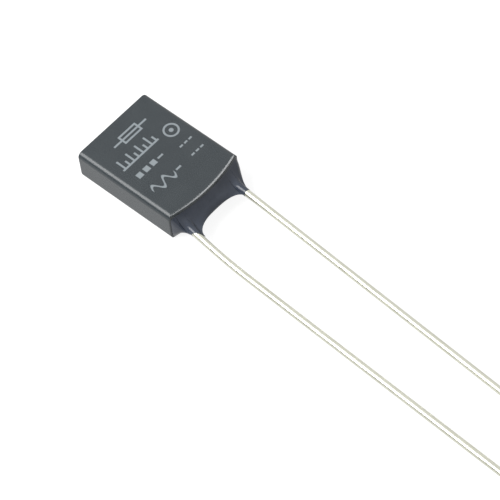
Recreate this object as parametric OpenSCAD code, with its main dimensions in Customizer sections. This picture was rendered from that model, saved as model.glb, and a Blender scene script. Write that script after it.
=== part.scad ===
// Radial thermal fuse: flat moulded case, potted mouth, two wire leads.
// Units are millimetres. The origin is the middle of the case's base face.
// +X runs out along the leads, +Z is up, and the part lies on z = 0.

/* [Case] */
// Length from the closed end to the top of the bowed lip
case_l = 10.6; // [9.5:0.1:13]
// Width across the leads
case_w = 8.1; // [7.8:0.1:10]
// Height
case_t = 3; // [2.8:0.1:4]
// Radius of the four long edges
edge_r = 0.5; // [0.3:0.05:0.7]
// Radius of the edges round the closed end
end_r = 0.12; // [0.05:0.01:0.3]
// How far the lip bows out past its corners
lip_bow = 0.57; // [0.3:0.01:0.9]
// Radius of the lip's top and bottom edges
lip_edge_r = 0.3; // [0.1:0.05:0.4]
// Thickness of the four walls
wall = 0.6; // [0.4:0.05:0.65]
// Thickness of the closed end
end_wall = 0.7; // [0.5:0.1:1]

/* [Leads] */
// Wire diameter
lead_d = 0.6; // [0.5:0.05:0.7]
// Distance from the case's sides in to the inner legs
leg_inset = 1.4; // [1.3:0.05:1.55]
// Distance from the lip's corners back to the knees, behind the potting
knee_back = 1.75; // [1.7:0.05:2]
// Length of each wire past its knee
lead_run = 47; // [30:1:70]
// Angle at which the near wire leaves its knee
near_yaw = 7.3; // [4:0.1:8]
// Angle the near wire turns back again
near_relax = 5.4; // [3:0.1:6]
// Angle at which the far wire leaves its knee
far_yaw = 3.4; // [2:0.1:4]
// Angle the far wire turns back again
far_relax = 0.3; // [0.1:0.1:1]
// Angle at which both wires droop inside the potting
root_droop = 0.3; // [0.1:0.1:0.6]
// How far past the top of the lip the wires' easy knees start
knee_start = 3.6; // [3:0.1:5.6]
// Length over which the near wire turns back
relax_run = 2.7; // [1.5:0.1:6]

/* [Potting] */
// Depth of the plug behind the lip's corners
plug_depth = 1.5; // [1.2:0.1:1.6]
// How far the near collar climbs past the top of the lip
near_reach = 1.55; // [1.4:0.05:1.9]
// How much further the near collar climbs on the web's side than on its outer side
near_slant = 1.1; // [0:0.05:1.2]
// How far the far collar climbs past the top of the lip
far_reach = 1.85; // [1.5:0.05:2.3]
// How far the middle of the web stands past the top of the lip
web_reach = 0.95; // [0.5:0.01:1.2]
// Thickness of the web near its front edge
web_t = 0.7; // [0.4:0.05:0.9]
// Diameter of the collars where they leave the case
collar_d = 1.7; // [1.4:0.1:2.2]
// How far the potting sits in from the case's sides
seal_inset = 0.1; // [0.05:0.01:0.2]
// How far the potting laps up onto the lip's rounded edges
seal_lap = 0.04; // [0:0.01:0.08]

/* [Fusible element] */
// Distance from the closed end to the link
link_x = 3.2; // [2.4:0.1:3.6]
// Diameter of the alloy rod
link_d = 0.8; // [0.6:0.05:0.9]
// Diameter of the soldered blobs at its ends
blob_d = 1.1; // [1:0.05:1.2]
// Largest diameter of the flux bead
flux_d = 1.6; // [1.5:0.05:1.6]
// Diameter of the flux bead's two ends
flux_end_d = 0.9; // [0.7:0.05:1]

/* [Hidden] */
$fn = 64;
// Cuts and profiles reach past the faces they cross by this much
over = 1;
mid_z = case_t / 2;
back_x = -case_l / 2;
lip_x = case_l / 2;
corner_x = lip_x - lip_bow;
lip_r = (case_w * case_w / 4 + lip_bow * lip_bow) / (2 * lip_bow);
lead_r = lead_d / 2;
inner_r = 0.4 * edge_r;
leg_y = case_w / 2 - leg_inset;
bridge_x = back_x + link_x;
plug_x = corner_x - plug_depth;
knee_x = corner_x - knee_back;
near_tip_x = lip_x + near_reach;
far_tip_x = lip_x + far_reach;
root_run = lip_x + knee_start - knee_x;
knee_swell = 0.01;
knee_cut = 0.03;
tail_droop = asin((mid_z - lead_r - root_run * sin(root_droop)) / (lead_run - root_run));

// The potting's outside
rim_gap = 0.01;
edge_h = 0.015;
collar_land = 0.03;
plug_out = 0.15;
flank_out = 0.08;
sheet_run = 1.25;
round_run = 0.4;
square_run = 0.25;
blend_h = 0.12;
least_run = 0.05;
flux_gap = 0.15;
tip_r = lead_r + collar_land;
rim_w = case_w - 2 * seal_inset;
rim_t = case_t - 2 * (lip_edge_r - seal_lap);
rim_r = edge_r - seal_inset;
near_tip_y = lead_y(-1, near_tip_x);
far_tip_y = lead_y(1, far_tip_x);
web_y = (near_tip_y + far_tip_y) / 2;
web_half = (far_tip_y - near_tip_y) / 2 - tip_r;
columns = concat(
    spread(-rim_w / 2, near_tip_y - tip_r, 10),
    spread(near_tip_y - tip_r, near_tip_y + tip_r, 8),
    spread(near_tip_y + tip_r, far_tip_y - tip_r, 26),
    spread(far_tip_y - tip_r, far_tip_y + tip_r, 8),
    spread(far_tip_y + tip_r, rim_w / 2, 10),
    [rim_w / 2]
);
rows = 16;

// n values from a up to b, closer together near both ends, without b itself
function spread(a, b, n) = [for (i = [0 : n - 1]) a + (b - a) * (1 - cos(180 * i / n)) / 2];

// Where the lip stands at y
function lip_at(y) = lip_x - lip_r + sqrt(lip_r * lip_r - y * y);

// Axis of a lead past its knee, side -1 near and 1 far
function lead_y(side, x) = side * leg_y - (x - knee_x) * tan(side < 0 ? near_yaw : far_yaw);

// Height of the leads' plane at x
function lead_z(x) = mid_z - max(0, x - knee_x) * tan(root_droop);

// Half height of the rim that the potting covers, with its rounded corners
function rim_h(y) =
    let (c = max(0, abs(y) - rim_w / 2 + rim_r))
    rim_t / 2 - rim_r + sqrt(max(0, rim_r * rim_r - c * c));

// The larger of two heights, with a soft change over k
function soft_max(a, b, k) = (a + b + sqrt((a - b) * (a - b) + k * k)) / 2;

// Where a collar ends at c across its wire: level on the far wire, slanted on the near one
function end_x(side, c) =
    side > 0 ? far_tip_x : near_tip_x + near_slant * max(-1, min(1, c / tip_r)) / 2;

// Flank outline: leaves the corner at a slant, ends along the wire at x
function flank_x(s, x) =
    corner_x + flank_out + (x - corner_x - flank_out) * pow(1 - pow(1 - s, 1 / 2), 1 / 1.4);

// Web outline: a flat-bottomed bow that ends along both wires
function web_x(e) =
    let (middle = lip_x + web_reach, end = e < 0 ? end_x(-1, tip_r) : end_x(1, -tip_r))
    middle + (end - middle) * (1 - sqrt(max(0, 1 - pow(abs(e), 2.6))));

// Front edge of the potting in plan
function front_x(y) =
    y < near_tip_y - tip_r ?
        flank_x((y + rim_w / 2) / (near_tip_y - tip_r + rim_w / 2), end_x(-1, -tip_r)) :
    y < near_tip_y + tip_r ? end_x(-1, y - near_tip_y) :
    y < far_tip_y - tip_r ? web_x((y - web_y) / web_half) :
    y < far_tip_y + tip_r ? end_x(1, y - far_tip_y) :
    flank_x((rim_w / 2 - y) / (rim_w / 2 - far_tip_y - tip_r), end_x(1, tip_r));

// Meniscus: falls steeply from the rim, then runs out flat
function sheet_h(y, d) = web_t / 2 + (rim_h(y) - web_t / 2) * pow(max(0, 1 - d / sheet_run), 2.2);

// Collar radius at x, tapering to a thin land on the wire at its end
function collar_r(x, end) =
    tip_r + (collar_d / 2 - tip_r) * pow(max(0, (end - x) / (end - corner_x)), 2.2);

// Half height of a collar at x, y
function collar_h(side, x, y) =
    let (c = y - lead_y(side, x), r = collar_r(x, end_x(side, c)))
    sqrt(max(0, r * r - c * c));

// Rounding of the open edge at distance e from it, squarer near the rim
function edge_round(e, d) =
    let (n = 2 + 8 * exp(-d / square_run))
    pow(1 - pow(1 - min(1, e / round_run), n), 1 / n);

// Half height of the potting at x, y
function seal_h(x, y, e) =
    max(edge_h,
        collar_h(-1, x, y),
        collar_h(1, x, y),
        edge_round(e, x - lip_at(y)) * soft_max(
            sheet_h(y, x - lip_at(y)),
            max(collar_h(-1, x, y), collar_h(1, x, y)),
            blend_h));

// One point of the surface: up is 1 on top and -1 underneath
function seal_point(y, v, up) =
    let (a = lip_at(y) + rim_gap, b = max(front_x(y), a + least_run))
    let (x = a + (b - a) * v, slant = (front_x(y + edge_h) - front_x(y - edge_h)) / (2 * edge_h))
    let (h = v == 0 ? rim_h(y) : seal_h(x, y, (b - x) / sqrt(1 + slant * slant)))
    [x, y, lead_z(x) + up * h];

// Squares of a grid with m points in a row, as triangles
function grid_faces(first, n, m, flip) = [
    for (i = [0 : n - 2], j = [0 : m - 2])
        let (a = first + i * m + j, b = a + 1, c = a + m, d = c + 1)
        each flip ? [[a, b, d], [a, d, c]] : [[a, d, b], [a, c, d]]
];

// Rounded rectangle centred on the origin
module rounded_rect(w, h, r) {
    square([w - 2 * r, h], center = true);
    square([w, h - 2 * r], center = true);
    for (sx = [-1, 1], sy = [-1, 1])
        translate([sx * (w / 2 - r), sy * (h / 2 - r)])
            circle(r);
}

// Bar along X from x0 to x1 with a rounded rectangular section
module x_bar(x0, x1, w, h, r) {
    translate([x0, 0, mid_z])
        rotate([90, 0, 90])
            linear_extrude(x1 - x0)
                rounded_rect(w, h, r);
}

// Plan of the lip: everything behind its arc, moved out by a little
module behind_lip(out) {
    translate([lip_x - lip_r + out, 0, -over])
        cylinder(r = lip_r, h = case_t + 2 * over, $fn = 256);
}

// Disc as high as the case whose rounded rim is the lip
module lip_disc() {
    translate([lip_x - lip_r, 0, mid_z])
        rotate_extrude($fn = 256)
            intersection() {
                rounded_rect(2 * lip_r, case_t, lip_edge_r);
                translate([0, -case_t])
                    square([lip_r, 2 * case_t]);
            }
}

// Case as its end view, plan and side view meet in one solid
module case_outside() {
    intersection() {
        x_bar(back_x, lip_x, case_w, case_t, edge_r);
        translate([0, 0, -over])
            linear_extrude(case_t + 2 * over)
                translate([case_l / 2, 0])
                    rounded_rect(2 * case_l, case_w, end_r);
        translate([0, case_w / 2 + over, mid_z])
            rotate([90, 0, 0])
                linear_extrude(case_w + 2 * over)
                    translate([case_l / 2, 0])
                        rounded_rect(2 * case_l, case_t, end_r);
        lip_disc();
    }
}

// Solid that fills the case's inside from x0 to x1
module cavity(x0, x1) {
    x_bar(x0, x1, case_w - 2 * wall, case_t - 2 * wall, inner_r);
}

// Straight wire along X, cut back at its start and end, with what follows after its length
module straight(l, start_cut, end_cut) {
    translate([start_cut, 0, 0])
        rotate([0, 90, 0])
            cylinder(r = lead_r, h = l - start_cut - end_cut);
    translate([l, 0, 0])
        children();
}

// Knee in a wire: a ball, with what follows turned aside and down
module knee(aside, down) {
    rotate([45, 0, 0])
        rotate([0, 90, 0])
            sphere(r = lead_r + knee_swell);
    rotate([0, down, -aside])
        children();
}

// Inner leg of a wire and its knee behind the potting, with what follows
module inner_leg(side, aside) {
    run = knee_x - bridge_x + lead_r;
    translate([bridge_x - lead_r, side * leg_y, mid_z])
        straight(run, 0, knee_cut)
            knee(aside, root_droop)
                children();
}

// Near wire: two easy knees outside the potting turn it back and down
module near_wire() {
    down = (tail_droop - root_droop) / 2;
    inner_leg(-1, near_yaw)
        straight(root_run, knee_cut, knee_cut)
            knee(-near_relax / 2, down)
                straight(relax_run, knee_cut, knee_cut)
                    knee(-near_relax / 2, down)
                        straight(lead_run - root_run - relax_run, knee_cut, 0);
}

// Far wire: one easy knee outside the potting
module far_wire() {
    inner_leg(1, far_yaw)
        straight(root_run, knee_cut, knee_cut)
            knee(-far_relax, tail_droop - root_droop)
                straight(lead_run - root_run, knee_cut, 0);
}

// Alloy rod across the case with a blob round each wire end
module bridge() {
    translate([bridge_x, 0, mid_z]) {
        rotate([90, 0, 0])
            cylinder(d = link_d, h = 2 * leg_y, center = true);
        for (side = [-1, 1])
            translate([0, side * leg_y, 0])
                sphere(d = blob_d);
    }
}

// Barrel of flux: one arc turned about the link's axis
module flux_barrel() {
    half_l = case_w / 2 - wall - flux_gap;
    rise = (flux_d - flux_end_d) / 2;
    arc_r = (half_l * half_l + rise * rise) / (2 * rise);
    translate([bridge_x, 0, mid_z])
        rotate([90, 0, 0])
            rotate_extrude()
                intersection() {
                    translate([flux_d / 2 - arc_r, 0])
                        circle(arc_r, $fn = 360);
                    translate([0, -half_l])
                        square([flux_d, 2 * half_l]);
                }
}

// Outside of the potting: a height field over its plan, mirrored below
module meniscus() {
    n = len(columns);
    m = rows + 1;
    k = n * m;
    top = [for (y = columns, j = [0 : rows]) seal_point(y, sin(90 * j / rows), 1)];
    low = [for (y = columns, j = [0 : rows]) seal_point(y, sin(90 * j / rows), -1)];
    front = [
        for (i = [0 : n - 2])
            let (a = i * m + rows, b = a + m)
            each [[a, b, b + k], [a, b + k, a + k]]
    ];
    rim = [
        for (i = [0 : n - 2])
            let (a = i * m, b = a + m)
            each [[a, b + k, b], [a, a + k, b + k]]
    ];
    ends = [
        concat([for (j = [0 : rows]) j], [for (j = [rows : -1 : 0]) k + j]),
        concat([for (j = [rows : -1 : 0]) k - m + j], [for (j = [0 : rows]) 2 * k - m + j])
    ];
    polyhedron(concat(top, low), concat(
        grid_faces(0, n, m, true), grid_faces(k, n, m, false), front, rim, ends));
}

module case() {
    color([0.29, 0.31, 0.32])
        difference() {
            case_outside();
            cavity(back_x + end_wall, lip_x + over);
        }
}

module epoxy_seal() {
    color([0.08, 0.08, 0.11])
        difference() {
            union() {
                meniscus();
                intersection() {
                    cavity(plug_x, lip_x + over);
                    behind_lip(plug_out);
                }
            }
            near_wire();
            far_wire();
        }
}

module lead_near() {
    color([0.86, 0.86, 0.82])
        near_wire();
}

module lead_far() {
    color([0.86, 0.86, 0.82])
        far_wire();
}

module fusible_link() {
    color([0.72, 0.73, 0.75])
        difference() {
            bridge();
            near_wire();
            far_wire();
        }
}

module flux() {
    color([0.72, 0.5, 0.2])
        difference() {
            flux_barrel();
            bridge();
            near_wire();
            far_wire();
        }
}

case();
epoxy_seal();
lead_near();
lead_far();
fusible_link();
flux();
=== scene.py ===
# %% [markdown]
# # A thermal fuse on a white table
# The object is a flat moulded box about 10 mm long with two tinned wires. Inside, a rod of
# low-melting alloy joins the wires, and it melts and opens the circuit when the box gets too hot.
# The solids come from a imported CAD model, which stays the frame of everything here. This lesson
# dresses it: smooth surfaces worked out with numpy stand in for the visible solids, and each
# finish is built from nodes. All lengths below are in millimetres, and the meshes in metres.

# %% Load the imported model
from math import cos, pi, radians, sin, tan

import bmesh
import bpy
import numpy as np
from mathutils import Matrix, Vector


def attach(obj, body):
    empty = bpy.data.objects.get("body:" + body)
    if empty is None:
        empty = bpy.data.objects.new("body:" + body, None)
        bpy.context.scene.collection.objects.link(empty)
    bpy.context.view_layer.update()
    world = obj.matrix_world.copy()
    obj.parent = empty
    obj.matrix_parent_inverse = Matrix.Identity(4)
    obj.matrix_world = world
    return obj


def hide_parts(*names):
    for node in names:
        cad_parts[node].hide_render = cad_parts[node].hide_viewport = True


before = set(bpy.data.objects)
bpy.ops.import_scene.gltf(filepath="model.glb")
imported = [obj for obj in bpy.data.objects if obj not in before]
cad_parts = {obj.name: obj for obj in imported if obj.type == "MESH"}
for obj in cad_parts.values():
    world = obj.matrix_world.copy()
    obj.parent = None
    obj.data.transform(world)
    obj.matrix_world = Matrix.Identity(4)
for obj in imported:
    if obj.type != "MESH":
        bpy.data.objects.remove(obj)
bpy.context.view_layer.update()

MM = 0.001
print("CAD nodes:", ", ".join(sorted(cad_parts)))

# %% [markdown]
# ## Camera
# A product photograph of such a small part is taken with a long lens from well above the table.
# The camera could be aimed by hand, but its place is worked out here from three angles and the
# distance to an aim point, so that every number has a meaning.

# %% Camera
VIEW_AZIMUTH, VIEW_ELEVATION, VIEW_ROLL = radians(47.218), radians(55.258), radians(-6.965)
AIM = Vector((8.5007, 0.7107, -3.4233)) * MM
AIM_DISTANCE = 202.3 * MM

lens = bpy.data.cameras.new("camera")
lens.lens, lens.sensor_width = 180, 36
lens.clip_start, lens.clip_end = 0.01, 20
camera = bpy.data.objects.new("camera", lens)
bpy.context.scene.collection.objects.link(camera)
turn = (Matrix.Rotation(VIEW_AZIMUTH, 4, "Z")
        @ Matrix.Rotation(pi / 2 - VIEW_ELEVATION, 4, "X")
        @ Matrix.Rotation(VIEW_ROLL, 4, "Z"))
camera.matrix_world = Matrix.Translation(AIM + turn @ Vector((0, 0, AIM_DISTANCE))) @ turn
bpy.context.scene.camera = camera
print("camera at", [round(c / MM, 1) for c in camera.matrix_world.translation], "mm")

# %% [markdown]
# ## A skin over rings
# Every visible piece of this fuse is a closed tube of some kind: a row of closed rings, joined by
# four-sided faces. One helper takes the rings as a numpy array, welds points that fall together
# at the ends, and turns the faces outwards by the sign of the volume that they enclose.

# %% Skin helper
def skin(name, rings, crease):
    """A closed mesh over rings, an array of stations by points by xyz in millimetres.

    Face (i, j) joins points j and j + 1 of ring i to those of ring i + 1, and the last point of a
    ring to its first. The enclosed volume is a third of the sum of face centre times face normal."""
    stations, points, _ = rings.shape
    number = np.arange(stations * points).reshape(stations, points)
    after = np.roll(number, -1, axis=1)
    quads = np.stack([number[:-1], after[:-1], after[1:], number[1:]], axis=-1).reshape(-1, 4)
    place = rings.reshape(-1, 3)
    corner = place[quads]
    normal = np.cross(corner[:, 2] - corner[:, 0], corner[:, 3] - corner[:, 1]) / 2
    volume = (corner.mean(axis=1) * normal).sum() / 3
    if volume < 0:
        quads = quads[:, ::-1]
    mesh = bpy.data.meshes.new(name)
    mesh.from_pydata((place * MM).tolist(), [], quads.tolist())
    work = bmesh.new()
    work.from_mesh(mesh)
    bmesh.ops.remove_doubles(work, verts=work.verts, dist=2e-8)
    work.to_mesh(mesh)
    work.free()
    mesh.polygons.foreach_set("use_smooth", np.ones(len(mesh.polygons), dtype=bool))
    mesh.set_sharp_from_angle(angle=radians(crease))
    piece = bpy.data.objects.new(name, mesh)
    bpy.context.scene.collection.objects.link(piece)
    print(f"{name}: {len(mesh.polygons)} faces round {abs(volume):.1f} cubic mm")
    return piece


def eased(start, stop, count):
    """Count values from start to stop, closer together at both ends, as a half turn of a circle."""
    return start + (stop - start) * (1 - np.cos(np.linspace(0, pi, count))) / 2


# %% [markdown]
# ## Moulded case
# On the real fuse the case is one moulding with soft long edges, a crisper closed end and a mouth
# whose lip bows out a little and is rounded along its top and bottom. It could be a bevelled box,
# but then the bow and the different edge radii would fight. Here a rounded rectangle is carried
# along X while it is inset by a chosen depth: the inset alone draws the closed end, the long body,
# the lip, and the walls inside.

# %% Case sizes
CASE_L, CASE_W, CASE_T = 10.6, 8.1, 3.0
EDGE_R, END_R, LIP_R, LIP_SIDE_R = 0.5, 0.12, 0.3, 0.06
LIP_BOW, WALL, END_WALL, INNER_R = 0.57, 0.6, 0.7, 0.2
BACK_X, LIP_X, MID_Z = -CASE_L / 2, CASE_L / 2, CASE_T / 2
CORNER_X = LIP_X - LIP_BOW
BOW_R = (CASE_W ** 2 / 4 + LIP_BOW ** 2) / (2 * LIP_BOW)


def lip_at(y):
    """Where the lip stands at y: a circle of the bow's radius that touches the lip's top."""
    return LIP_X - BOW_R + np.sqrt(BOW_R ** 2 - y ** 2)


def lip_face(y, z):
    """Front of the lip at y and at z from the middle: the bow, drawn back by a quarter circle along
    its top and bottom edges and by a smaller one along its sides."""
    def drawn_back(depth, radius):
        over = np.clip(1 - depth / radius, 0, 1)
        return radius * (1 - np.sqrt(1 - over ** 2))
    along_top = drawn_back(CASE_T / 2 - abs(z), LIP_R)
    along_side = drawn_back(CASE_W / 2 - abs(y), LIP_SIDE_R)
    return lip_at(y) - along_top - along_side


def outline(side_points, corner_points):
    """Rounded rectangle as four columns per point: which corner centre, from -1 to 1 in y and z,
    and the direction of the rounding from there."""
    turn_by = np.linspace(0, pi / 2, corner_points)
    along = np.concatenate([[0.985], eased(0.96, -0.96, side_points), [-0.985]])
    flat = np.zeros_like(along)
    parts = []
    for quarter in range(4):
        angle = turn_by + quarter * pi / 2
        sy, sz = (1, -1, -1, 1)[quarter], (1, 1, -1, -1)[quarter]
        arc = [np.full_like(angle, sy), np.full_like(angle, sz), np.cos(angle), np.sin(angle)]
        side = [along, flat + 1, flat, flat + 1]
        for _ in range(quarter):
            side = [-side[1], side[0], -side[3], side[2]]
        parts += [np.stack(arc, axis=1), np.stack(side, axis=1)]
    return np.concatenate(parts)


OUTLINE = outline(46, 12)


def section(inset, radius):
    """The outline at an inset: the corner centres stand in by the inset and the radius together."""
    half = np.array([CASE_W, CASE_T]) / 2
    reach = half - inset - radius
    return OUTLINE[:, :2] * reach + OUTLINE[:, 2:] * radius


def case_rings():
    """Stations from the closed end to the lip and back inside, each an x rule and an inset."""
    quarter = np.linspace(0, pi / 2, 9)
    stations = []

    def add(inset, place, radius=None):
        yz = section(inset, max(EDGE_R - inset, 0) if radius is None else radius)
        x = place(*yz.T) if callable(place) else np.full(len(yz), place)
        stations.append(np.column_stack([x, yz[:, 0], yz[:, 1] + MID_Z]))

    for inset in eased(CASE_T / 2, END_R + 0.02, 9):
        add(inset, BACK_X)
    for a in quarter:
        add(END_R * (1 - sin(a)), BACK_X + END_R * (1 - cos(a)))
    body = np.concatenate([[0.004], eased(0.012, 0.988, 40), [0.996]])
    for v in body:
        add(0, lambda y, z, v=v: BACK_X + END_R + (lip_at(y) - LIP_R - BACK_X - END_R) * v)
    add(0, lambda y, z: np.minimum(lip_face(y, z), lip_at(y) - 0.6 * LIP_R))
    for inset in (*(LIP_R * (1 - np.cos(quarter))), 0.34, 0.4, 0.48):
        add(inset, lip_face)
    inner_x = BACK_X + END_WALL
    add(WALL, lip_face, INNER_R)
    for v in np.linspace(0.1, 1, 8):
        add(WALL, lambda y, z, v=v: lip_at(y) + (inner_x - lip_at(y)) * v, INNER_R)
    for inset in eased(WALL + INNER_R, CASE_T / 2, 6):
        add(inset, inner_x, 0)
    return np.array(stations)


case = skin("moulded_case", case_rings(), 50)
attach(case, "root")
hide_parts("case")

# %% [markdown]
# ## Wires
# The two leads are tinned copper wire. They leave the mouth a little askew, and the near one eases
# back over a few millimetres, as wire does after being handled. A curve with a bevel would do, but
# a circle carried along a path that is summed up from its own heading keeps the length exact, so
# the wire ends where the CAD wire ends.

# %% Wire paths
LEAD_R, LEG_Y, KNEE_X, LEG_X = 0.3, 2.65, 2.98, -2.4
LEAD_RUN = 47.0
ROOT_RUN = LIP_X + 3.6 - KNEE_X
ROOT_DROOP = radians(0.3)
TAIL_DROOP = np.arcsin((MID_Z - LEAD_R - ROOT_RUN * sin(ROOT_DROOP)) / (LEAD_RUN - ROOT_RUN))
NEAR_YAW, NEAR_EASE, NEAR_FROM, NEAR_TO = radians(7.3), radians(5.4), 4.5, 10.05
FAR_YAW, FAR_EASE, FAR_FROM, FAR_TO = radians(3.4), radians(0.3), 4.4, 7.45
ELBOW = 0.12
CUT = 0.12


def heading_path(side, run, yaw, ease, begin, end):
    """Points along a wire: each step adds its heading, aside by its yaw and down by its droop.
    Before the elbow it runs along X inside the case. Between two lengths it eases back and down."""
    step = np.diff(run)
    middle = (run[1:] + run[:-1]) / 2
    knee = np.clip(middle / ELBOW + 0.5, 0, 1)
    eased_by = np.clip((middle - begin) / (end - begin), 0, 1)
    aside = yaw * knee - ease * eased_by
    down = ROOT_DROOP * knee + (TAIL_DROOP - ROOT_DROOP) * eased_by
    level = np.cos(down)
    move = np.stack([level * np.cos(aside), -level * np.sin(aside), -np.sin(down)], axis=1)
    start = np.array([LEG_X, side * LEG_Y, MID_Z])
    return np.vstack([start, start + np.cumsum(move * step[:, None], axis=0)])


def wire_rings(side, *bends):
    """Circles across the path, with a small bevel and a flat at both cut ends."""
    begin = LEG_X - KNEE_X
    run = np.concatenate([
        [begin, begin, begin, begin + 0.02],
        np.linspace(begin + 0.06, -0.2, 12),
        np.linspace(-0.1, 0.1, 9),
        np.linspace(0.2, 14, 180),
        np.linspace(14.3, LEAD_RUN - CUT, 150),
        [LEAD_RUN - 0.02, LEAD_RUN, LEAD_RUN, LEAD_RUN],
    ])
    radius = np.full(len(run), LEAD_R)
    radius[:4] = [0, 0.2, 0.28, LEAD_R]
    radius[-4:] = [0.285, 0.25, 0.15, 0]
    path = heading_path(side, run, *bends)
    ahead = np.gradient(path, axis=0)
    still = np.linalg.norm(ahead, axis=1) < 1e-9
    ahead[still] = [1, 0, 0]
    ahead /= np.linalg.norm(ahead, axis=1)[:, None]
    across = np.cross([0, 0, 1], ahead)
    across /= np.linalg.norm(across, axis=1)[:, None]
    above = np.cross(ahead, across)
    round_by = np.arange(48) / 48 * 2 * pi
    ring = (across[:, None] * np.cos(round_by)[:, None] + above[:, None] * np.sin(round_by)[:, None])
    return path[:, None] + ring * radius[:, None, None]


wires = []
for name, node, side, bends in (
        ("wire_near", "lead_near", -1, (NEAR_YAW, NEAR_EASE, NEAR_FROM, NEAR_TO)),
        ("wire_far", "lead_far", 1, (FAR_YAW, FAR_EASE, FAR_FROM, FAR_TO))):
    wire = skin(name, wire_rings(side, *bends), 40)
    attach(wire, "root")
    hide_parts(node)
    wires.append(wire)

# %% [markdown]
# ## Potting
# The mouth is closed with epoxy that is poured wet. While it is liquid it clings to the rim and
# climbs the wires, so it sets with a web between them and a collar round each. A sculpt could give
# that look, but the shape has a rule: over every point of its plan the epoxy is as thick as the
# largest of a sheet that falls away from the rim and two cones round the wires, with soft changes.

# %% Potting sizes
SEAL_INSET, SEAL_LAP, RIM_GAP, EDGE_H, LAND = 0.1, 0.04, 0.01, 0.012, 0.03
PLUG_X = CORNER_X - 1.5
WEB_REACH, COLLAR_D = 0.95, 1.7
NEAR_TIP_X, NEAR_SLANT, FAR_TIP_X = LIP_X + 1.55, 1.1, LIP_X + 1.85
TIP_R = LEAD_R + LAND
SHEET_REACH, SHEET_FALL, SHEET_LEAST, EDGE_ROUND = 1.9, 2.4, 0.02, 0.4
RIM_FADE, EDGE_POWER, EDGE_POWER_RIM, BLEND, BLEND_RIM, COLLAR_FALL = 0.25, 2, 8, 3.2, 9, 2.2
FLANK_START, FLANK_POWER, WEB_POWER = 0.08, 1.4, 2.6
RIM_HALF, RIM_T, RIM_R = CASE_W / 2 - SEAL_INSET, CASE_T / 2 - LIP_R + SEAL_LAP, EDGE_R - SEAL_INSET


def lead_y(side, x):
    """Axis of a wire past its elbow, seen from above."""
    return side * LEG_Y - (x - KNEE_X) * tan(NEAR_YAW if side < 0 else FAR_YAW)


def lead_z(x):
    """Height of the wires' plane."""
    return MID_Z - np.maximum(0, x - KNEE_X) * tan(ROOT_DROOP)


NEAR_TIP, FAR_TIP = lead_y(-1, NEAR_TIP_X), lead_y(1, FAR_TIP_X)
WEB_Y, WEB_HALF = (NEAR_TIP + FAR_TIP) / 2, (FAR_TIP - NEAR_TIP) / 2 - TIP_R


def rim_height(y):
    """Half height of the covered rim: flat, with a rounded corner at each side."""
    c = np.maximum(0, abs(y) - RIM_HALF + RIM_R)
    return RIM_T - RIM_R + np.sqrt(np.maximum(0, RIM_R ** 2 - c ** 2))


def end_x(side, c):
    """Where a collar ends at c across its wire: level on the far wire, slanted on the near one."""
    return FAR_TIP_X + 0 * c if side > 0 else NEAR_TIP_X + NEAR_SLANT * np.clip(c / TIP_R, -1, 1) / 2


def front_x(y):
    """Front edge in plan: a slanted flank, a wire, a bow between the wires, a wire, a flank."""
    def flank(s, x):
        begin = CORNER_X + FLANK_START
        return begin + (x - begin) * (1 - np.sqrt(1 - np.clip(s, 0, 1))) ** (1 / FLANK_POWER)
    bow = np.clip((y - WEB_Y) / WEB_HALF, -1, 1)
    middle, ends = LIP_X + WEB_REACH, np.where(bow < 0, end_x(-1, TIP_R), FAR_TIP_X)
    web = middle + (ends - middle) * (1 - np.sqrt(1 - abs(bow) ** WEB_POWER))
    near = flank((y + RIM_HALF) / (NEAR_TIP - TIP_R + RIM_HALF), end_x(-1, -TIP_R))
    far = flank((RIM_HALF - y) / (RIM_HALF - FAR_TIP - TIP_R), FAR_TIP_X)
    places = [NEAR_TIP - TIP_R, NEAR_TIP + TIP_R, FAR_TIP - TIP_R, FAR_TIP + TIP_R]
    return np.select([y < p for p in places], [near, end_x(-1, y - NEAR_TIP), web, end_x(1, y)], far)


def potting_height(x, y, edge):
    """Half thickness: a power mean of the sheet, rounded at its open edge, and the two collars.
    The power is high at the rim, where the sheet rules, and low further out, where they blend."""
    d = np.maximum(0, x - lip_at(y))
    sheet = rim_height(y) * np.maximum(SHEET_LEAST, 1 - d / SHEET_REACH) ** SHEET_FALL
    square = EDGE_POWER + EDGE_POWER_RIM * np.exp(-d / RIM_FADE)
    sheet = sheet * (1 - (1 - np.minimum(1, edge / EDGE_ROUND)) ** square) ** (1 / square)
    power = BLEND + BLEND_RIM * np.exp(-d / RIM_FADE)
    total = sheet ** power
    for side in (-1, 1):
        c = y - lead_y(side, x)
        end = end_x(side, c)
        taper = np.clip((end - x) / (end - CORNER_X), 0, None)
        collar_r = TIP_R + (COLLAR_D / 2 - TIP_R) * taper ** COLLAR_FALL
        total = total + np.sqrt(np.maximum(0, collar_r ** 2 - c ** 2)) ** power
    return np.maximum(EDGE_H, total ** (1 / power))


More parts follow.
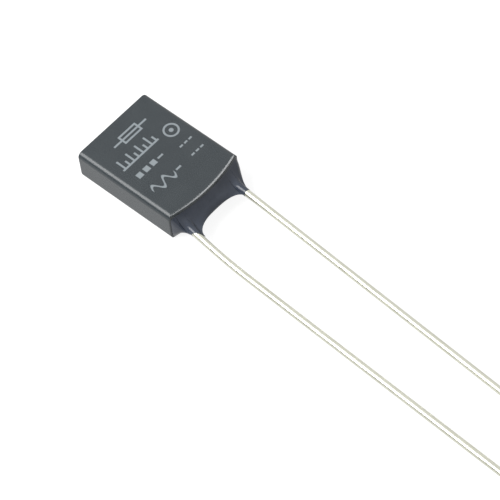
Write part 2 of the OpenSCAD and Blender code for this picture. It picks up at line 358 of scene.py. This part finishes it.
def potting_rings():
    """Rings from the front edge back to the rim, then the plug behind it: tops one way across the
    fuse, undersides back again."""
    marks = [-RIM_HALF, NEAR_TIP - TIP_R, NEAR_TIP + TIP_R, FAR_TIP - TIP_R, FAR_TIP + TIP_R, RIM_HALF]
    counts = (44, 28, 110, 28, 44)
    spans = zip(marks, marks[1:], counts)
    y = np.concatenate([eased(a, b, n)[:-1] for a, b, n in spans] + [[RIM_HALF]])
    rim = lip_at(y) + RIM_GAP
    front = np.maximum(front_x(y), rim + 0.05)
    slant = np.gradient(front, y)
    v = np.sin(np.linspace(pi / 2, 0, 64))[:, None]
    x = rim + (front - rim) * v
    edge = (front - x) / np.sqrt(1 + slant ** 2)
    wide = np.broadcast_to(y, x.shape)
    height = potting_height(x, wide, edge)
    height[-1] = rim_height(y)
    shrink = (CASE_W / 2 - WALL - 0.01) / RIM_HALF
    c = np.maximum(0, abs(y) * shrink - (CASE_W / 2 - WALL - INNER_R))
    plug = CASE_T / 2 - WALL - INNER_R + np.sqrt(np.maximum(0, INNER_R ** 2 - c ** 2)) - 0.01
    rows_x = [x[0], *x, lip_at(y * shrink), np.full_like(y, PLUG_X), np.full_like(y, PLUG_X)]
    rows_y = [y, *wide, y * shrink, y * shrink, y * shrink]
    rows_h = [0 * y, *height, plug, plug, 0 * y]
    rings = []
    for px, py, ph in zip(rows_x, rows_y, rows_h):
        z = lead_z(px)
        top = np.stack([px, py, z + ph], axis=1)
        low = np.stack([px, py, z - ph], axis=1)
        rings.append(np.concatenate([top, low[::-1]]))
    return np.array(rings)


potting = skin("potting", potting_rings(), 60)
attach(potting, "root")
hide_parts("epoxy_seal")

# %% [markdown]
# ## Node sums
# Finishes are easier to read as sums than as a web of boxes. A small class wraps an output socket:
# plus, minus, times and their mirror forms add Math nodes, and one method adds any other node.

# %% Node sums helper
class Shade:
    """An output socket of a node tree that can be used in Python sums."""

    def __init__(self, tree, socket=None):
        self.tree, self.socket = tree, socket

    def node(self, kind, settings=None, sockets=None, out=0):
        """Add a node: settings first, then the values or links of its sockets."""
        made = self.tree.nodes.new(kind)
        for key, value in (settings or {}).items():
            setattr(made, key, value)
        for key, value in (sockets or {}).items():
            if isinstance(value, Shade):
                self.tree.links.new(value.socket, made.inputs[key])
            else:
                made.inputs[key].default_value = value
        return Shade(self.tree, made.outputs[out] if made.outputs else None)

    def math(self, operation, *values):
        """One Math node on this value and others."""
        return self.node("ShaderNodeMath", {"operation": operation}, dict(enumerate((self, *values))))

    def __add__(self, other):
        return self.math("ADD", other)

    def __radd__(self, other):
        return self.math("ADD", other)

    def __sub__(self, other):
        return self.math("SUBTRACT", other)

    def __rsub__(self, other):
        return (self * -1) + other

    def __mul__(self, other):
        return self.math("MULTIPLY", other)

    def __rmul__(self, other):
        return self.math("MULTIPLY", other)

    def __pow__(self, other):
        return self.math("POWER", other)

    def __mod__(self, other):
        return self.math("FLOORED_MODULO", other)

    def __abs__(self):
        return self.math("ABSOLUTE")

    def low(self, other):
        return self.math("MINIMUM", other)

    def high(self, other):
        return self.math("MAXIMUM", other)

    def ramp(self, start, stop, to_start=0.0, to_stop=1.0):
        """This value mapped from one range to another, smoothly and held at both ends."""
        return self.node("ShaderNodeMapRange", {"interpolation_type": "SMOOTHSTEP"},
                         {"Value": self, "From Min": start, "From Max": stop,
                          "To Min": to_start, "To Max": to_stop})

    def mix(self, first, second):
        """A colour between two, by this value."""
        return self.node("ShaderNodeMix", {"data_type": "RGBA"}, {0: self, 6: first, 7: second}, out=2)


def new_finish(name):
    """A fresh material: its tree, its Object coordinates in mm, and x, y, z of them."""
    material = bpy.data.materials.new(name)
    material.use_nodes = True
    tree = material.node_tree
    tree.nodes.clear()
    start = Shade(tree)
    place = start.node("ShaderNodeTexCoord", out="Object")
    place = start.node("ShaderNodeVectorMath", {"operation": "SCALE"}, {0: place, "Scale": 1 / MM})
    split = start.node("ShaderNodeSeparateXYZ", {}, {0: place})
    axes = [Shade(tree, s) for s in split.socket.node.outputs]
    return material, start, place, axes


def noise(start, place, scale, detail, rough=0.5):
    """Fractal noise with about scale lumps to a millimetre."""
    return start.node("ShaderNodeTexNoise", {}, {"Vector": place, "Scale": scale, "Detail": detail,
                                                 "Roughness": rough})


def close_finish(start, sockets):
    """End a material in a Principled surface."""
    surface = start.node("ShaderNodeBsdfPrincipled", {}, sockets)
    start.node("ShaderNodeOutputMaterial", {}, {"Surface": surface})


def bump(start, height, distance):
    """A bump whose height of 1 stands for a distance in millimetres."""
    return start.node("ShaderNodeBump", {}, {"Height": height, "Distance": distance * MM})


# %% [markdown]
# ## Case finish
# The case is dark grey filled plastic with a faint grain from the mould. Its top carries pale pad
# printing, here a plain row of generic marks: a fuse symbol, a graduated scale, squares, a wave and
# a ring. The marks could be a picture, but each is drawn by its distance instead: a point is inked
# where its distance to the mark's edge is below zero, which stays sharp at any size.

# %% Marks on the top
STROKE = 0.085


def bar(u, v, u0, u1, v0, v1):
    """Distance to an upright box: the larger of how far a point lies outside in u and in v."""
    return (abs(u - (u0 + u1) / 2) - (u1 - u0) / 2).high(abs(v - (v0 + v1) / 2) - (v1 - v0) / 2)


def ring_mark(u, v, cu, cv, radius):
    """Distance to a circle's line."""
    far = ((u - cu) * (u - cu) + (v - cv) * (v - cv)) ** 0.5
    return abs(far - radius) - STROKE, far


def top_marks(u, v):
    """Distance to the nearest of all marks, u across the case and v towards its closed end."""
    symbol = (abs(bar(u, v, -0.75, 1.1, 2.98, 3.78)) - STROKE).low(
        bar(u, v, -1.7, 2.05, 3.38 - STROKE, 3.38 + STROKE))
    tick = (u + 2.9) % 0.52 - 0.26
    long_tick = (u + 2.9) % 1.04 - 0.26
    scale = bar(tick, v, -STROKE, STROKE, 1.2, 1.78).low(bar(long_tick, v, -STROKE, STROKE, 1.2, 2.25))
    scale = scale.high(bar(u, v, -2.92, 1.2, 1, 2.4)).low(
        bar(u, v, -2.92, 1.2, 1.2 - STROKE, 1.2 + STROKE))
    cell = (u + 2.8) % 0.8 - 0.4
    squares = bar(cell, v, -0.26, 0.26, -0.36, 0.16).high(bar(u, v, -2.8, -0.4, -0.7, 0.5))
    dash = bar(u, v, -0.28, 0.3, -0.1 - STROKE, -0.1 + STROKE)
    swing = ((u + 2.9) * (2 * pi / 1.25)).math("SINE") * 0.42
    wave = ((abs(v + 2.02 - swing) * 0.5) - STROKE * 0.8).high(abs(u + 1.65) - 1.25)
    tail = bar(u, v, -0.2, 0.35, -2.02 - STROKE, -2.02 + STROKE)
    ring, far = ring_mark(u, v, 2.5, 1.0, 0.62)
    dot = far - 0.2
    step = u % 0.52 - 0.26
    short_one = bar(step, v, -0.17, 0.17, -0.82, -0.66).high(abs(u - 2.34) - 0.78)
    short_two = bar(step, v, -0.17, 0.17, -2.1, -1.94).high(abs(u - 2.34) - 0.78)
    marks = symbol
    for mark in (scale, squares, dash, wave, tail, ring, dot, short_one, short_two):
        marks = marks.low(mark)
    return marks


# %% Case finish
CASE_GREY, CASE_GREY_PALE = (0.035, 0.045, 0.052, 1), (0.046, 0.057, 0.064, 1)
INK = (0.30, 0.34, 0.365, 1)

plastic, start, place, (px, py, pz) = new_finish("dark_moulded_plastic")
cloud = noise(start, place, 0.5, 3)
grain = noise(start, place, 14, 4, 0.6)
fleck = noise(start, place, 5, 2)
ink = top_marks(py, px * -1).ramp(0.025, -0.025) * pz.ramp(CASE_T - 0.02, CASE_T - 0.01)
ink = ink * grain.ramp(0.25, 0.5, 0.8, 1.0)
grey = (cloud.ramp(0.3, 0.7) * 0.6 + fleck.ramp(0.35, 0.65) * 0.4).mix(CASE_GREY, CASE_GREY_PALE)
rough = 0.22 + grain * 0.1 + ink * 0.2
height = grain * 0.7 + fleck * 0.5 + ink * 0.8
close_finish(start, {"Base Color": ink.mix(grey, INK), "Roughness": rough, "IOR": 1.52,
                     "Normal": bump(start, height, 0.0012)})
case.data.materials.append(plastic)
print("case finish:", len(plastic.node_tree.nodes), "nodes")

# %% [markdown]
# ## Potting finish
# Cured epoxy is near black with a wet gloss. Poured epoxy is never quite even, so a slow wave in
# the bump makes its reflections wander.

# %% Potting finish
epoxy, start, place, _ = new_finish("glossy_epoxy")
slow = noise(start, place, 0.9, 2)
fine = noise(start, place, 9, 3)
tint = slow.ramp(0.35, 0.65).mix((0.046, 0.058, 0.084, 1), (0.062, 0.075, 0.104, 1))
close_finish(start, {"Base Color": tint, "Roughness": 0.12 + fine * 0.1, "IOR": 1.5,
                     "Normal": bump(start, slow * 1.2 + fine * 0.06, 0.02)})
potting.data.materials.append(epoxy)

# %% [markdown]
# ## Tinned wire finish
# Tin on drawn copper wire is bright and slightly warm, with faint lines along its length from the
# drawing die. Noise that is stretched along X gives those lines.

# %% Tinned wire finish
tin, start, place, _ = new_finish("tinned_copper")
drawn = start.node("ShaderNodeVectorMath", {"operation": "MULTIPLY"}, {0: place, 1: (0.06, 6, 6)})
lines = noise(start, drawn, 1.6, 3, 0.6)
patch = noise(start, place, 0.7, 3)
shade = (lines * 0.5 + patch * 0.5).ramp(0.3, 0.7)
silver = shade.mix((0.68, 0.68, 0.575, 1), (0.78, 0.78, 0.68, 1))
close_finish(start, {"Base Color": silver, "Metallic": 1.0, "Roughness": 0.22 + lines * 0.14,
                     "Normal": bump(start, lines, 0.003)})
for wire in wires:
    wire.data.materials.append(tin)

# %% [markdown]
# ## Inside the case
# The alloy rod and its flux bead are hidden, but the model carries them, so that a cut view would
# be right. Both are turned about one axis across the case: a rod with a blob round each wire end,
# and a barrel drawn by one arc, hollow where the rod lies. A radius for each place along the axis
# is all that they need.

# %% Link and flux shapes
LINK_X, LINK_R, BLOB_R = -2.1, 0.4, 0.55
FLUX_HALF, FLUX_R, FLUX_END_R = 3.3, 0.8, 0.45


def turned(along, radius):
    """Rings of a piece turned about the link's axis: a radius for each place along Y."""
    round_by = np.arange(48) / 48 * 2 * pi
    ring = np.stack([np.cos(round_by), 0 * round_by, np.sin(round_by)], axis=1)
    middle = np.stack([0 * along + LINK_X, along, 0 * along + MID_Z], axis=1)
    return middle[:, None] + ring * radius[:, None, None]


def link_rings():
    """A circle of the blob's radius from each tip up to the rod, and the straight rod between."""
    angle = np.linspace(0, pi - np.arcsin(LINK_R / BLOB_R), 20)
    along, radius = LEG_Y + BLOB_R * np.cos(angle), BLOB_R * np.sin(angle)
    return turned(np.concatenate([-along, along[::-1]]), np.concatenate([radius, radius[::-1]]))


def flux_rings():
    """An arc through the barrel's middle and both its ends, closed by a flat at each end."""
    rise = FLUX_R - FLUX_END_R
    arc_r = (FLUX_HALF ** 2 + rise ** 2) / (2 * rise)
    along = np.linspace(-FLUX_HALF, FLUX_HALF, 41)
    radius = FLUX_R - arc_r + np.sqrt(arc_r ** 2 - along ** 2)
    return turned(np.concatenate([along[:1], along, along[-1:]]), np.concatenate([[0], radius, [0]]))


link = skin("alloy_link", link_rings(), 40)
bead = skin("flux_bead", flux_rings(), 40)
hollow = skin("flux_hollow", link_rings(), 40)
hollow.data.flip_normals()
work = bmesh.new()
work.from_mesh(bead.data)
work.from_mesh(hollow.data)
work.to_mesh(bead.data)
work.free()
bpy.data.objects.remove(hollow)
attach(link, "root")
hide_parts("fusible_link")
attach(bead, "root")
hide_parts("flux")

# %% Link and flux finishes
alloy, start, place, _ = new_finish("low_melting_alloy")
mottle = noise(start, place, 4, 4)
dull_grey = mottle.mix((0.42, 0.43, 0.45, 1), (0.62, 0.63, 0.65, 1))
close_finish(start, {"Base Color": dull_grey, "Metallic": 1.0, "Roughness": 0.35 + mottle * 0.2,
                     "Normal": bump(start, mottle, 0.01)})
link.data.materials.append(alloy)
resin, start, place, _ = new_finish("amber_flux")
streak = noise(start, place, 1.5, 3)
close_finish(start, {"Base Color": streak.mix((0.42, 0.2, 0.04, 1), (0.6, 0.34, 0.1, 1)),
                     "Roughness": 0.15 + streak * 0.15, "Normal": bump(start, streak, 0.02)})
bead.data.materials.append(resin)

# %% [markdown]
# ## Table and light
# The part lies on a white table under one large soft light from behind its closed end, with pale
# room light from all round. A pale card stands beyond the mouth, where only the case mirrors it, so
# that the rounded lip shows as a bright line. The table adds a little glow for the camera and for
# reflections, so it reads as white while a soft shadow still falls on it.

# %% Table
TABLE_HALF, TABLE_Z, TABLE_GLOW, MIRRORED_GLOW = 3.0, -2e-5, 0.88, 0.62
table_mesh = bpy.data.meshes.new("table")
corners = ((-1, -1), (1, -1), (1, 1), (-1, 1))
table_mesh.from_pydata([(x * TABLE_HALF, y * TABLE_HALF, TABLE_Z) for x, y in corners], [], [(0, 1, 2, 3)])
table = bpy.data.objects.new("table", table_mesh)
bpy.context.scene.collection.objects.link(table)
white = bpy.data.materials.new("white_table")
white.use_nodes = True
white.node_tree.nodes.clear()
start = Shade(white.node_tree)
seen = [start.node("ShaderNodeLightPath", out=out) for out in
        ("Is Camera Ray", "Is Glossy Ray", "Is Transmission Ray")]
glow = start.node("ShaderNodeEmission", {}, {"Strength": (seen[0] * TABLE_GLOW).high(
    seen[1].high(seen[2]) * MIRRORED_GLOW)})
matt = start.node("ShaderNodeBsdfDiffuse", {}, {"Color": (0.36, 0.36, 0.36, 1)})
both = start.node("ShaderNodeAddShader", {}, {0: glow, 1: matt})
start.node("ShaderNodeOutputMaterial", {}, {"Surface": both})
table_mesh.materials.append(white)

# %% Room light and lamp
world = bpy.data.worlds.new("room")
bpy.context.scene.world = world
world.use_nodes = True
world.node_tree.nodes.clear()
start = Shade(world.node_tree)
ROOM_GLOW = 0.3
way = start.node("ShaderNodeTexCoord", out="Generated")
split = start.node("ShaderNodeSeparateXYZ", {}, {0: way})
_, wy, wz = [Shade(world.node_tree, s) for s in split.socket.node.outputs]
low_down = 1 - wz.ramp(0.05, 0.65)
shown = 0.88 + wy.ramp(-0.8, 0.8, -0.82, -0.1) * low_down
rays = [start.node("ShaderNodeLightPath", out=out) for out in
        ("Is Camera Ray", "Is Glossy Ray", "Is Transmission Ray")]
mirrored = rays[1].high(rays[2])
room = rays[0] + (1 - rays[0]) * (mirrored * shown + (1 - mirrored) * ROOM_GLOW)
backdrop = start.node("ShaderNodeBackground", {}, {"Color": (1, 1, 1, 1), "Strength": room})
start.node("ShaderNodeOutputWorld", {}, {"Surface": backdrop})


def soft_light(name, way, far, side, glow, only=None):
    """A soft light at a distance along a direction from the part, facing it. Its power is its
    brightness times pi times its area. With only, it is a mirrored card for that piece alone."""
    lamp = bpy.data.lights.new(name, "AREA")
    lamp.shape = "RECTANGLE"
    lamp.size, lamp.size_y = side
    lamp.energy = glow * pi * side[0] * side[1]
    soft = bpy.data.objects.new(name, lamp)
    bpy.context.scene.collection.objects.link(soft)
    way = Vector(way).normalized()
    soft.matrix_world = Matrix.Translation(way * far) @ way.to_track_quat("Z", "Y").to_matrix().to_4x4()
    if only:
        soft.visible_diffuse = False
        soft.light_linking.receiver_collection = bpy.data.collections.new(name)
        soft.light_linking.receiver_collection.objects.link(only)
    print(name, "of", round(lamp.energy, 2), "W")


LAMP_FAR = 0.35
soft_light("key_light", (-0.418, -0.493, 0.765), LAMP_FAR, (0.3, 0.22), 6.2)
soft_light("lip_card", (0.44, 0.55, 0.71), LAMP_FAR, (0.42, 0.22), 9, case)
bpy.context.scene.view_settings.view_transform = "Standard"
